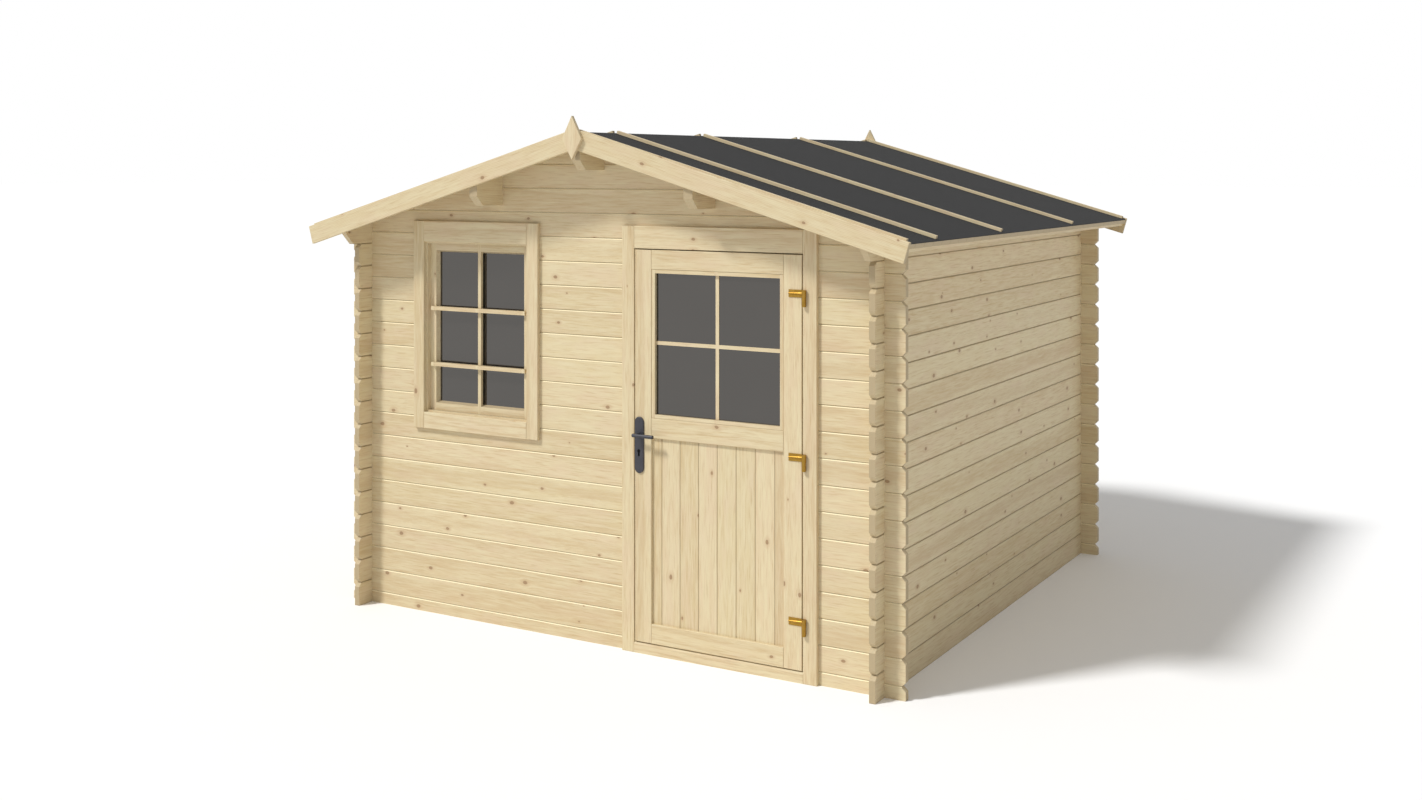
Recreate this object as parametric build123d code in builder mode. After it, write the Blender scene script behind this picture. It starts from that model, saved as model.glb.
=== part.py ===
from build123d import *

import os
from math import atan, cos, radians, sin, sqrt, tan

# Garden shed of interlocking logs under a low gable roof, in millimetres.
# +Z is up and the front, with the window and the door, looks along -Y.
# The origin is on the ground, in the middle of the four walls.

# Logs
log_height = 114.0
log_thickness = 28.0
joint_groove = 4.0
log_end = 95.0
end_bevel = 20.0
side_courses = 16
wall_width = 2860.0
wall_depth = 2800.0

# Roof
roof_pitch = 15.95
roof_board_thickness = 20.0
roof_board_width = 96.0
board_groove = 2.5
eave_overhang = 191.0
gable_overhang = 213.0
felt_thickness = 3.0
purlin_width = 45.0
purlin_height = 150.0
purlin_bevel = 45.0
purlin_from_ridge = 591.0
plate_bevel = 61.0
eave_strip_width = 45.0
eave_strip_thickness = 18.0
eave_strip_setback = 12.0

# Battens over the felt
batten_width = 28.0
batten_height = 18.0
batten_ridge_gap = 10.0
batten_eave_gap = 13.0
batten_setbacks = (129.0, 931.0, 2025.0)

# Bargeboards and finials
bargeboard_width = 90.0
bargeboard_thickness = 18.0
bargeboard_ridge_rise = 12.5
bargeboard_eave_rise = 6.0
bargeboard_overrun = 9.0
finial_width = 80.0
finial_height = 199.0
finial_thickness = 18.0
finial_rise = 59.0

# Trim boards round the window and the door
trim_width = 66.0
trim_thickness = 20.0
trim_head_height = 103.0
window_foot_drop = 54.0
window_foot_rise = 27.0
eased_edge = 2.0

# Window
window_from_corner = 386.0
window_width = 632.0
window_courses_below = 8
window_frame_width = 36.0
window_frame_depth = 72.0
window_frame_show = 9.0
sash_setback = 23.0
sash_depth = 42.0
sash_width = 35.0
sash_slope = 8.0
window_bar_width = 18.0
window_bar_thickness = 16.0
cross_bar_height = 19.0
cross_bar_thickness = 20.0
cross_bar_end_gap = 18.0
upper_sash_light = 277.0
middle_sash_light = 258.0
window_glass_setback = 23.0
glass_thickness = 4.0
glass_groove = 8.0

# Door leaf
door_from_corner = 376.0
door_width = 850.0
door_thickness = 42.0
door_play = 5.0
stile_width = 88.0
top_rail_height = 87.0
middle_rail_height = 90.0
bottom_rail_height = 89.0
pane_height = 675.0
bead_width = 18.0
bead_setback = 2.0
door_bar_width = 17.0
door_bar_setback = 14.0
upper_door_light = 307.0
door_glass_setback = 17.0
glass_rebate = 12.0
panel_recess = 13.0
panel_thickness = 18.0
panel_tongue = 10.0
panel_board_width = 96.0
panel_groove = 2.5
lock_edge_bevel = 2.5

# Door frame
post_width = 40.0
frame_depth = 52.0
stop_width = 15.0
threshold_height = 48.0
threshold_bevel = 6.0

# Hinges
hinge_offset = 13.0
hinge_radius = 10.0
hinge_pin_radius = 5.0
hinge_fit = 0.05
hinge_face_gap = 0.3
hinge_height = 72.0
hinge_arm_height = 33.0
hinge_arm_length = 62.0
hinge_arm_thickness = 3.0
hinge_rib_root = 16.0
hinge_rib_tip = 7.0
hinge_rib_rise = 5.0
pintle_radius = 9.0
pintle_stud_radius = 5.0
pintle_stud_depth = 45.0
stud_fit = 0.1
hinge_heights = (207.0, 911.0, 1614.0)

# Handle
handle_from_edge = 26.0
handle_height = 996.0
plate_width = 48.0
plate_height = 256.0
plate_thickness = 8.0
plate_above_lever = 80.0
plate_clearance = 8.0
keyhole_drop = 75.0
keyhole_radius = 8.5
keyhole_slot_width = 10.0
keyhole_slot_drop = 24.0
plate_bevel_size = 3.0
lever_length = 110.0
lever_overhang = 13.0
lever_radius = 8.5
lever_reach = 42.0
lever_easing = 1.5
neck_radius = 8.0
lever_fit = 0.05
spindle_radius = 5.0
spindle_hole_radius = 12.0

# Floor inside
joist_height = 45.0
joist_width = 45.0
joist_count = 6
joist_inset = 45.0
floor_board_thickness = 19.0
floor_board_width = 96.0

# Places worked out from the sizes above
half_width = wall_width / 2
half_depth = wall_depth / 2
half_log = log_thickness / 2
front = -half_depth
inner_x = half_width - log_thickness
inner_y = half_depth - log_thickness
corner_x = half_width - half_log
corner_y = half_depth - half_log
plate_bottom = side_courses * log_height
plate_top = plate_bottom + log_height
opening_top = plate_bottom + log_height / 2
level_joints = [course * log_height for course in range(side_courses + 2)]
half_joints = [joint + log_height / 2 for joint in level_joints[:-1]]

slope = tan(radians(roof_pitch))
along = cos(radians(roof_pitch))
across = sin(radians(roof_pitch))
ridge_under = plate_top + slope * half_width
felt_under = ridge_under + roof_board_thickness / along
felt_top = felt_under + felt_thickness / along
slope_length = (half_width + eave_overhang) / along
roof_end = half_depth + gable_overhang - bargeboard_thickness

trim_front = front - trim_thickness
frame_head = opening_top - post_width
trim_head = frame_head + trim_head_height
window_left = window_from_corner - half_width
window_right = window_left + window_width
window_middle = (window_left + window_right) / 2
window_sill = window_courses_below * log_height + log_height / 2
sash_left = window_left + window_frame_show
sash_right = window_right - window_frame_show
sash_bottom = window_sill + window_frame_width
sash_top = frame_head - window_frame_show
window_hole_left = sash_left - window_frame_width
window_hole_right = sash_right + window_frame_width

door_right = half_width - door_from_corner
door_left = door_right - door_width
door_middle = (door_left + door_right) / 2
passage_left = door_left - door_play
passage_right = door_right + door_play
door_hole_left = passage_left - post_width
door_hole_right = passage_right + post_width
door_bottom = threshold_height + door_play
door_top = frame_head - door_play
door_back = trim_front + door_thickness
stop_front = door_back + door_play
frame_back = front + frame_depth

plate_top_height = handle_height + plate_above_lever
plate_foot_height = plate_top_height - plate_height
hinge_x = passage_right - door_play / 2 + hinge_offset
hinge_y = trim_front - hinge_face_gap - hinge_radius
lever_x = door_left + handle_from_edge

os.makedirs("parts", exist_ok=True)


def save(piece, name):
    """Label a finished piece and write it."""
    piece.part.label = name
    export_step(piece.part, "parts/" + name + ".step")


def block(x, y, z, mode=Mode.ADD):
    """A squared timber in the open part, from its lowest and highest x, y and z."""
    spans = (x, y, z)
    with Locations(Vector(*[(low + high) / 2 for low, high in spans])):
        Box(*[high - low for low, high in spans], mode=mode)


def profile(points, plane, depth, mode=Mode.ADD):
    """A polygon drawn on a plane and extruded in the open part."""
    with BuildSketch(plane) as outline:
        Polygon(*points, align=None)
    extrude(outline.sketch, amount=depth, mode=mode)


def diamonds(plane, spots, reach, depth, both=False):
    """V-shaped cuts in the open part: a row of squares on edge, reaching in by reach."""
    side = reach * sqrt(2)
    with BuildSketch(plane) as notches:
        with Locations(*spots):
            Rectangle(side, side, rotation=45)
    extrude(notches.sketch, amount=depth, both=both, mode=Mode.SUBTRACT)


def ease(face, size=eased_edge):
    """Chamfer the edges all round a face of the open part."""
    chamfer(face.edges(), size)


def roof_under(x):
    """Height of the roof boards' underside above the place x."""
    return ridge_under - slope * abs(x)


def purlin_bottom(x):
    """Height of the underside of the purlin whose middle is above the place x."""
    return roof_under(x) - purlin_height


def crossing_slots(places, joints):
    """Slots half a log high in the open part, for the crossing wall's logs to fill."""
    with Locations(*[(x, y, z) for z in joints for x, y in places]):
        Box(log_thickness, log_thickness, log_height / 2, mode=Mode.SUBTRACT)


def end_bevels(bottom, bevel):
    """Slanting cuts under both ends of a roof timber, in the open part."""
    for end in (-roof_end, roof_end):
        start = end - bevel if end > 0 else end + bevel
        corner = [(end, bottom), (start, bottom), (end, bottom + bevel)]
        with BuildSketch(Plane.YZ) as wedge:
            Polygon(*corner, align=None)
        extrude(wedge.sketch, amount=wall_width, both=True, mode=Mode.SUBTRACT)


def cross_logs(y, x_from, x_to, z_from, z_to):
    """Front or rear logs round the middle plane y, half a course off the side logs."""
    with BuildPart() as logs:
        block((x_from, x_to), (y - half_log, y + half_log), (z_from, z_to))
        seams = [z for z in half_joints if z_from <= z <= z_to]
        faces = (y - half_log, y + half_log)
        spots = [(face, z) for z in seams for face in faces]
        diamonds(Plane.YZ.offset(x_from), spots, joint_groove, x_to - x_from)
        ends = [x for x in (x_from, x_to) if abs(x) > half_width]
        if ends:
            tips = [(x, z) for z in seams for x in ends]
            diamonds(Plane.XZ, tips, end_bevel, wall_depth, both=True)
            places = [(corner_x if x > 0 else -corner_x, y) for x in ends]
            crossing_slots(places, half_joints)
    return logs


def gable_logs(y):
    """The logs of a gable, planed to the roof's slope and cut out round the purlins."""
    with BuildPart() as logs:
        outline = [
            (-half_width, opening_top),
            (half_width, opening_top),
            (half_width, plate_top),
            (0, ridge_under),
            (-half_width, plate_top),
        ]
        profile(outline, Plane.XZ.offset(-y - half_log), log_thickness)
        courses = int((ridge_under - opening_top) / log_height) + 1
        seams = [opening_top + course * log_height for course in range(courses)]
        spots = [(y + side * half_log, z) for z in seams for side in (-1, 1)]
        diamonds(Plane.YZ.offset(-half_width), spots, joint_groove, wall_width)
        crossing_slots([(-corner_x, y), (corner_x, y)], [opening_top])
        for x in (-purlin_from_ridge, 0, purlin_from_ridge):
            sides = (x - purlin_width / 2, x + purlin_width / 2)
            through = (y - half_log, y + half_log)
            block(sides, through, (purlin_bottom(x), ridge_under), mode=Mode.SUBTRACT)
    return logs


def side_logs(side):
    """The logs of a side wall below its wall plate."""
    with BuildPart() as logs:
        middle = side * corner_x
        reach = half_depth + log_end
        faces = (middle - half_log, middle + half_log)
        block(faces, (-reach, reach), (0, plate_bottom))
        spots = [(face, z) for z in level_joints[1:-1] for face in faces]
        diamonds(Plane.XZ.offset(-reach), spots, joint_groove, 2 * reach)
        tips = [(end, z) for z in level_joints[1:-1] for end in (-reach, reach)]
        diamonds(Plane.YZ, tips, end_bevel, wall_width, both=True)
        crossing_slots([(middle, -corner_y), (middle, corner_y)], level_joints)
    return logs


def wall_plate(side):
    """Top log of a side wall, running out under the roof to both bargeboards."""
    with BuildPart() as log:
        outline = [
            (side * half_width, plate_bottom),
            (side * inner_x, plate_bottom),
            (side * inner_x, roof_under(inner_x)),
            (side * half_width, plate_top),
        ]
        profile(outline, Plane.XZ.offset(-roof_end), 2 * roof_end)
        end_bevels(plate_bottom, plate_bevel)
        places = [(side * corner_x, -corner_y), (side * corner_x, corner_y)]
        crossing_slots(places, [plate_bottom, plate_top])
    return log


def purlin(x):
    """Purlin through both gables, its top planed to the roof's slope."""
    with BuildPart() as timber:
        left = x - purlin_width / 2
        right = x + purlin_width / 2
        crown = [(0, ridge_under)] if left < 0 < right else []
        outline = [
            (left, purlin_bottom(x)),
            (right, purlin_bottom(x)),
            (right, roof_under(right)),
            *crown,
            (left, roof_under(left)),
        ]
        profile(outline, Plane.XZ.offset(-roof_end), 2 * roof_end)
        end_bevels(purlin_bottom(x), purlin_bevel)
    return timber


def board(x, y, z):
    """A trim board with the edges of its front face eased."""
    with BuildPart() as piece:
        block(x, y, z)
        ease(piece.faces().sort_by(Axis.Y)[0])
    return piece


# Front wall, in stretches of logs beside and under the openings
end_x = half_width + log_end
front_wall_base = cross_logs(-corner_y, -end_x, door_hole_left, 0, window_sill)
save(front_wall_base, "front_wall_base")
front_wall_left = cross_logs(-corner_y, -end_x, window_hole_left, window_sill, opening_top)
save(front_wall_left, "front_wall_left")
front_wall_middle = cross_logs(
    -corner_y, window_hole_right, door_hole_left, window_sill, opening_top
)
save(front_wall_middle, "front_wall_middle")
front_wall_right = cross_logs(-corner_y, door_hole_right, end_x, 0, opening_top)
save(front_wall_right, "front_wall_right")
front_gable = gable_logs(-corner_y)
save(front_gable, "front_gable")

# Rear wall
rear_wall = cross_logs(corner_y, -end_x, end_x, 0, opening_top)
save(rear_wall, "rear_wall")
rear_gable = gable_logs(corner_y)
save(rear_gable, "rear_gable")

# Side walls and the plates on them
left_wall = side_logs(-1)
save(left_wall, "left_wall")
right_wall = side_logs(1)
save(right_wall, "right_wall")
with BuildPart() as wall_plates:
    add(wall_plate(-1).part)
    add(wall_plate(1).part)
save(wall_plates, "wall_plates")

# Purlins
ridge_purlin = purlin(0)
save(ridge_purlin, "ridge_purlin")
with BuildPart() as side_purlins:
    add(purlin(-purlin_from_ridge).part)
    add(purlin(purlin_from_ridge).part)
save(side_purlins, "side_purlins")

# Roof boards down the slope, cut square at the eave and plumb at the ridge
board_seams = int(roof_end / roof_board_width)
seam_places = [roof_board_width * seam for seam in range(-board_seams, board_seams + 1)]
eave_under = (slope_length * along, ridge_under - slope_length * across)
eave_over = (
    eave_under[0] + roof_board_thickness * across,
    eave_under[1] + roof_board_thickness * along,
)
with BuildPart() as right_roof_boards:
    section = [(0, ridge_under), eave_under, eave_over, (0, felt_under)]
    profile(section, Plane.XZ.offset(-roof_end), 2 * roof_end)
    down_slope = Plane(origin=(0, 0, ridge_under), x_dir=(0, 1, 0), z_dir=(along, 0, -across))
    diamonds(down_slope, [(y, 0) for y in seam_places], board_groove, slope_length)
save(right_roof_boards, "right_roof_boards")
with BuildPart() as left_roof_boards:
    mirror(right_roof_boards.part, about=Plane.YZ)
save(left_roof_boards, "left_roof_boards")

# Strips under the roof boards' ends, from bargeboard to bargeboard
strip_end = slope_length - eave_strip_setback
strip_start = strip_end - eave_strip_width


def under_boards(distance, depth):
    """The point at a distance down the right slope, a depth below the roof boards."""
    return (
        distance * along - depth * across,
        ridge_under - distance * across - depth * along,
    )


with BuildPart() as right_eave_strip:
    section = [
        under_boards(strip_start, 0),
        under_boards(strip_end, 0),
        under_boards(strip_end, eave_strip_thickness),
        under_boards(strip_start, eave_strip_thickness),
    ]
    profile(section, Plane.XZ.offset(-roof_end), 2 * roof_end)
with BuildPart() as eave_strips:
    add(right_eave_strip.part)
    mirror(right_eave_strip.part, about=Plane.YZ)
save(eave_strips, "eave_strips")

# Roofing felt, one sheet folded over the ridge
felt_edge = (
    eave_over[0] + felt_thickness * across,
    eave_over[1] + felt_thickness * along,
)
with BuildPart() as roofing_felt:
    section = [
        (0, felt_under),
        eave_over,
        felt_edge,
        (0, felt_top),
        (-felt_edge[0], felt_edge[1]),
        (-eave_over[0], eave_over[1]),
    ]
    profile(section, Plane.XZ.offset(-roof_end), 2 * roof_end)
save(roofing_felt, "roofing_felt")

# Battens over the felt: one inside each bargeboard and three between
last_batten = roof_end - batten_width / 2
batten_rows = [-last_batten, *[front + y for y in batten_setbacks], last_batten]
right_slope = Plane(
    origin=(0, 0, felt_top), x_dir=(along, 0, -across), z_dir=(across, 0, along)
)
batten_length = slope_length - batten_ridge_gap - batten_eave_gap
with BuildPart() as right_battens:
    with BuildSketch(right_slope):
        middle = batten_ridge_gap + batten_length / 2
        with Locations(*[(middle, y) for y in batten_rows]):
            Rectangle(batten_length, batten_width)
    extrude(amount=batten_height)
save(right_battens, "right_battens")
with BuildPart() as left_battens:
    mirror(right_battens.part, about=Plane.YZ)
save(left_battens, "left_battens")

# Bargeboards, meeting in a plumb joint at the ridge and a little closer to the felt at the eave
board_top = felt_top + bargeboard_ridge_rise / along
board_reach = slope_length + bargeboard_overrun
board_end = (
    board_reach * along + bargeboard_eave_rise * across,
    felt_top - board_reach * across + bargeboard_eave_rise * along,
)
board_pitch = atan((board_top - board_end[1]) / board_end[0])
board_foot = (
    board_end[0] - bargeboard_width * sin(board_pitch),
    board_end[1] - bargeboard_width * cos(board_pitch),
)
plumb_cut = bargeboard_width / cos(board_pitch)
board_face = [(0, board_top), board_end, board_foot, (0, board_top - plumb_cut)]
with BuildPart() as front_right_bargeboard:
    profile(board_face, Plane.XZ.offset(roof_end), bargeboard_thickness)
    ease(front_right_bargeboard.faces().sort_by(Axis.Y)[0])
save(front_right_bargeboard, "front_right_bargeboard")
with BuildPart() as front_left_bargeboard:
    mirror(front_right_bargeboard.part, about=Plane.YZ)
save(front_left_bargeboard, "front_left_bargeboard")
with BuildPart() as rear_right_bargeboard:
    mirror(front_right_bargeboard.part, about=Plane.XZ)
save(rear_right_bargeboard, "rear_right_bargeboard")
with BuildPart() as rear_left_bargeboard:
    mirror(front_left_bargeboard.part, about=Plane.XZ)
save(rear_left_bargeboard, "rear_left_bargeboard")

# Finials over the bargeboards' joints
finial_top = board_top + finial_rise
finial_middle = finial_top - finial_height / 2
finial_face = [
    (0, finial_top),
    (finial_width / 2, finial_middle),
    (0, finial_top - finial_height),
    (-finial_width / 2, finial_middle),
]
with BuildPart() as front_finial:
    profile(finial_face, Plane.XZ.offset(roof_end + bargeboard_thickness), finial_thickness)
    ease(front_finial.faces().sort_by(Axis.Y)[0])
with BuildPart() as finials:
    add(front_finial.part)
    mirror(front_finial.part, about=Plane.XZ)
save(finials, "finials")

# Window frame, let into the logs
window_back = front + window_frame_depth
with BuildPart() as window_frame:
    block((window_hole_left, window_hole_right), (front, window_back), (window_sill, opening_top))
    daylight = ((sash_left, sash_right), (front, window_back), (sash_bottom, sash_top))
    block(*daylight, mode=Mode.SUBTRACT)
save(window_frame, "window_frame")

# Window sash: inner edges sloping in to the glass, an upright bar flush with the sash
# and cross bars planted on its front
sash_front = front + sash_setback
sash_back = sash_front + sash_depth
pane_front = sash_front + window_glass_setback
sash_middle_height = (sash_bottom + sash_top) / 2
light_width = sash_right - sash_left - 2 * sash_width
light_height = sash_top - sash_bottom - 2 * sash_width
pane_width = light_width - 2 * sash_slope
pane_height_in_sash = light_height - 2 * sash_slope
glass_box = (
    (window_middle - pane_width / 2 - glass_groove, window_middle + pane_width / 2 + glass_groove),
    (pane_front, pane_front + glass_thickness),
    (
        sash_middle_height - pane_height_in_sash / 2 - glass_groove,
        sash_middle_height + pane_height_in_sash / 2 + glass_groove,
    ),
)


def sash_opening(y, width, height):
    """Sketch of the sash's opening in the upright plane y."""
    with BuildSketch(Plane.XZ.offset(-y)) as opening:
        with Locations((window_middle, sash_middle_height)):
            Rectangle(width, height)
    return opening.sketch


with BuildPart() as window_sash:
    block((sash_left, sash_right), (sash_front, sash_back), (sash_bottom, sash_top))
    pane_hole = sash_opening(pane_front, pane_width, pane_height_in_sash)
    light_hole = sash_opening(sash_front, light_width, light_height)
    loft([light_hole, pane_hole], mode=Mode.SUBTRACT)
    extrude(pane_hole, amount=pane_front - sash_back, mode=Mode.SUBTRACT)
    block(*glass_box, mode=Mode.SUBTRACT)
    bar_sides = (window_middle - window_bar_width / 2, window_middle + window_bar_width / 2)
    bar_depth = (sash_front, sash_front + window_bar_thickness)
    light_top = sash_top - sash_width
    block(bar_sides, bar_depth, (sash_bottom + sash_width, light_top))
    cross_bar_sides = (sash_left + cross_bar_end_gap, sash_right - cross_bar_end_gap)
    cross_bar_depth = (sash_front - cross_bar_thickness, sash_front)
    upper_bar_top = light_top - upper_sash_light
    lower_bar_top = upper_bar_top - cross_bar_height - middle_sash_light
    for top in (upper_bar_top, lower_bar_top):
        block(cross_bar_sides, cross_bar_depth, (top - cross_bar_height, top))
save(window_sash, "window_sash")
with BuildPart() as window_glass:
    block(*glass_box)
save(window_glass, "window_glass")

# Window trim: side boards at full height, head and foot boards between them
trim_depth = (trim_front, front)
window_foot = window_sill - window_foot_drop
window_trim_height = (window_foot, trim_head)
with BuildPart() as window_side_trims:
    add(board((window_left - trim_width, window_left), trim_depth, window_trim_height).part)
    add(board((window_right, window_right + trim_width), trim_depth, window_trim_height).part)
save(window_side_trims, "window_side_trims")
window_span = (window_left, window_right)
with BuildPart() as window_cross_trims:
    add(board(window_span, trim_depth, (frame_head, trim_head)).part)
    add(board(window_span, trim_depth, (window_foot, window_sill + window_foot_rise)).part)
save(window_cross_trims, "window_cross_trims")

# Door frame: posts and a head with a stop behind the leaf, and a threshold
hinge_studs = [low + (hinge_height - hinge_arm_height) / 2 for low in hinge_heights]
stud_hole = pintle_stud_radius + stud_fit


def stud_holes():
    """Holes in the open part for the studs of the hinges' pintles."""
    with BuildSketch(Plane.XZ.offset(-trim_front)) as holes:
        with Locations(*[(hinge_x, z) for z in hinge_studs]):
            Circle(stud_hole)
    extrude(holes.sketch, amount=-pintle_stud_depth, mode=Mode.SUBTRACT)


stop_depth = (stop_front, frame_back)
with BuildPart() as door_posts:
    block((door_hole_left, passage_left), (front, frame_back), (0, frame_head))
    block((passage_left, passage_left + stop_width), stop_depth, (threshold_height, frame_head))
    block((passage_right, door_hole_right), (front, frame_back), (0, frame_head))
    block((passage_right - stop_width, passage_right), stop_depth, (threshold_height, frame_head))
    plate_room = (plate_foot_height - plate_clearance, plate_top_height + plate_clearance)
    block((passage_left, passage_left + stop_width), stop_depth, plate_room, mode=Mode.SUBTRACT)
    stud_holes()
save(door_posts, "door_posts")
with BuildPart() as door_head:
    block((door_hole_left, door_hole_right), (front, frame_back), (frame_head, opening_top))
    stop_span = (passage_left + stop_width, passage_right - stop_width)
    block(stop_span, stop_depth, (frame_head - stop_width, frame_head))
save(door_head, "door_head")
with BuildPart() as door_threshold:
    block((passage_left, passage_right), (trim_front, frame_back), (0, threshold_height))
    chamfer(door_threshold.edges().group_by(Axis.Y)[0].sort_by(Axis.Z)[-1], threshold_bevel)
save(door_threshold, "door_threshold")

# Door trim
with BuildPart() as door_side_trims:
    add(board((passage_left - trim_width, passage_left), trim_depth, (0, trim_head)).part)
    add(board((passage_right, passage_right + trim_width), trim_depth, (0, trim_head)).part)
    stud_holes()
save(door_side_trims, "door_side_trims")
door_head_trim = board((passage_left, passage_right), trim_depth, (frame_head, trim_head))
save(door_head_trim, "door_head_trim")

# Door leaf: stiles and rails, rebated behind the glass and grooved for the panel
leaf_depth = (trim_front, door_back)
pane_left = door_left + stile_width
pane_right = door_right - stile_width
pane_top = door_top - top_rail_height
pane_bottom = pane_top - pane_height
panel_top = pane_bottom - middle_rail_height
panel_bottom = door_bottom + bottom_rail_height
door_glass_front = trim_front + door_glass_setback
door_glass_back = door_glass_front + glass_thickness
rebate_depth = (door_glass_back, door_back)
panel_front = trim_front + panel_recess
panel_box = (
    (pane_left - panel_tongue, pane_right + panel_tongue),
    (panel_front, panel_front + panel_thickness),
    (panel_bottom - panel_tongue, panel_top + panel_tongue),
)
with BuildPart() as door_stiles:
    add(board((door_left, pane_left), leaf_depth, (door_bottom, door_top)).part)
    add(board((pane_right, door_right), leaf_depth, (door_bottom, door_top)).part)
    block((pane_left, pane_left + glass_rebate), rebate_depth, (pane_bottom, pane_top))
    block((pane_right - glass_rebate, pane_right), rebate_depth, (pane_bottom, pane_top))
    block(*panel_box, mode=Mode.SUBTRACT)
    lock_edge = [
        (door_left, trim_front),
        (door_left + lock_edge_bevel, door_back),
        (door_left, door_back),
    ]
    profile(lock_edge, Plane.XY.offset(door_bottom), door_top - door_bottom, mode=Mode.SUBTRACT)
    with BuildSketch(Plane.XZ.offset(-trim_front)) as spindle_hole:
        with Locations((lever_x, handle_height)):
            Circle(spindle_hole_radius)
    extrude(spindle_hole.sketch, amount=-door_thickness, mode=Mode.SUBTRACT)
save(door_stiles, "door_stiles")
rail_span = (pane_left, pane_right)
lip_span = (pane_left + glass_rebate, pane_right - glass_rebate)
with BuildPart() as door_rails:
    add(board(rail_span, leaf_depth, (pane_top, door_top)).part)
    add(board(rail_span, leaf_depth, (panel_top, pane_bottom)).part)
    add(board(rail_span, leaf_depth, (door_bottom, panel_bottom)).part)
    block(lip_span, rebate_depth, (pane_top - glass_rebate, pane_top))
    block(lip_span, rebate_depth, (pane_bottom, pane_bottom + glass_rebate))
    block(*panel_box, mode=Mode.SUBTRACT)
save(door_rails, "door_rails")

# Lower panel of upright boards with V-shaped joints on both faces
with BuildPart() as door_panel:
    block(*panel_box)
    seam_count = int((pane_right - pane_left) / 2 / panel_board_width)
    seams = [door_middle + panel_board_width * i for i in range(-seam_count, seam_count + 1)]
    spots = [(x, y) for x in seams for y in panel_box[1]]
    diamonds(
        Plane.XY.offset(panel_box[2][0]), spots, panel_groove, panel_box[2][1] - panel_box[2][0]
    )
save(door_panel, "door_panel")

# Door glass, held by a bead that carries the cross of bars
with BuildPart() as door_glass:
    block((pane_left, pane_right), (door_glass_front, door_glass_back), (pane_bottom, pane_top))
save(door_glass, "door_glass")
with BuildPart() as door_glazing_bars:
    bead_depth = (trim_front + bead_setback, door_glass_front)
    block((pane_left, pane_right), bead_depth, (pane_bottom, pane_top))
    ease(door_glazing_bars.faces().sort_by(Axis.Y)[0])
    sight_across = (pane_left + bead_width, pane_right - bead_width)
    sight_up = (pane_bottom + bead_width, pane_top - bead_width)
    block(sight_across, bead_depth, sight_up, mode=Mode.SUBTRACT)
    half_bar = door_bar_width / 2
    bar_depth = (trim_front + door_bar_setback, door_glass_front)
    bar_top = sight_up[1] - upper_door_light
    block((door_middle - half_bar, door_middle + half_bar), bar_depth, sight_up)
    block(sight_across, bar_depth, (bar_top - door_bar_width, bar_top))
save(door_glazing_bars, "door_glazing_bars")

# Hinges: a ribbed arm and sleeve on the leaf turn on a pintle in the post
sleeve_rise = hinge_height - hinge_arm_height
arm_tip = door_right - hinge_arm_length
arm_front = trim_front - hinge_arm_thickness
link_back = trim_front - hinge_face_gap


def hinge_rib(x, width, rise, middle):
    """Rounded section of an arm's rib at the place x, on the arm's front face."""
    with BuildSketch(Plane.YZ.offset(x)) as section:
        with BuildLine():
            low = (arm_front, middle - width / 2)
            high = (arm_front, middle + width / 2)
            ThreePointArc(low, (arm_front - rise, middle), high)
            Line(high, low)
        make_face()
    return section.sketch


with BuildPart() as door_hinges:
    for low in hinge_heights:
        arm_heights = (low + sleeve_rise, low + hinge_height)
        arm_middle = sum(arm_heights) / 2
        block((arm_tip, door_right), (arm_front, trim_front), arm_heights)
        block((door_right, hinge_x), (arm_front, link_back), arm_heights)
        root = hinge_rib(hinge_x, hinge_rib_root, hinge_rib_rise, arm_middle)
        tip = hinge_rib(arm_tip, hinge_rib_tip, hinge_rib_rise / 2, arm_middle)
        loft([root, tip])
        with BuildSketch(Plane.XY.offset(arm_heights[0])) as sleeve:
            with Locations((hinge_x, hinge_y)):
                Circle(hinge_radius)
        extrude(sleeve.sketch, amount=hinge_arm_height)
        with BuildSketch(Plane.XY.offset(arm_heights[0])) as bore:
            with Locations((hinge_x, hinge_y)):
                Circle(hinge_pin_radius + hinge_fit)
        extrude(bore.sketch, amount=hinge_arm_height, mode=Mode.SUBTRACT)
save(door_hinges, "door_hinges")
with BuildPart() as frame_hinges:
    with BuildSketch(*[Plane.XY.offset(low) for low in hinge_heights]):
        with Locations((hinge_x, hinge_y)):
            Circle(pintle_radius)
    extrude(amount=sleeve_rise - hinge_face_gap)
    with BuildSketch(*[Plane.XY.offset(low) for low in hinge_heights]):
        with Locations((hinge_x, hinge_y)):
            Circle(hinge_pin_radius)
    extrude(amount=hinge_height)
    with BuildSketch(Plane.XZ.offset(-hinge_y)):
        with Locations(*[(hinge_x, z) for z in hinge_studs]):
            Circle(pintle_stud_radius)
    extrude(amount=-(trim_front - hinge_y + pintle_stud_depth - stud_fit))
save(frame_hinges, "frame_hinges")

# Handle: a long plate with a keyhole on each face, and the levers on their spindle
plate_middle = (plate_foot_height + plate_top_height) / 2
keyhole_height = handle_height - keyhole_drop
with BuildPart() as outer_plate:
    with BuildSketch(Plane.XZ.offset(-trim_front)):
        with Locations((lever_x, plate_middle)):
            SlotOverall(plate_height, plate_width, rotation=90)
    extrude(amount=plate_thickness)
    ease(outer_plate.faces().sort_by(Axis.Y)[0], plate_bevel_size)
    with BuildSketch(Plane.XZ.offset(-trim_front)):
        with Locations((lever_x, handle_height)):
            Circle(neck_radius + lever_fit)
        with Locations((lever_x, keyhole_height)):
            Circle(keyhole_radius)
        with Locations((lever_x, keyhole_height - keyhole_slot_drop / 2)):
            Rectangle(keyhole_slot_width, keyhole_slot_drop)
    extrude(amount=plate_thickness, mode=Mode.SUBTRACT)
leaf_middle = Plane.XZ.offset(-(trim_front + door_thickness / 2))
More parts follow.
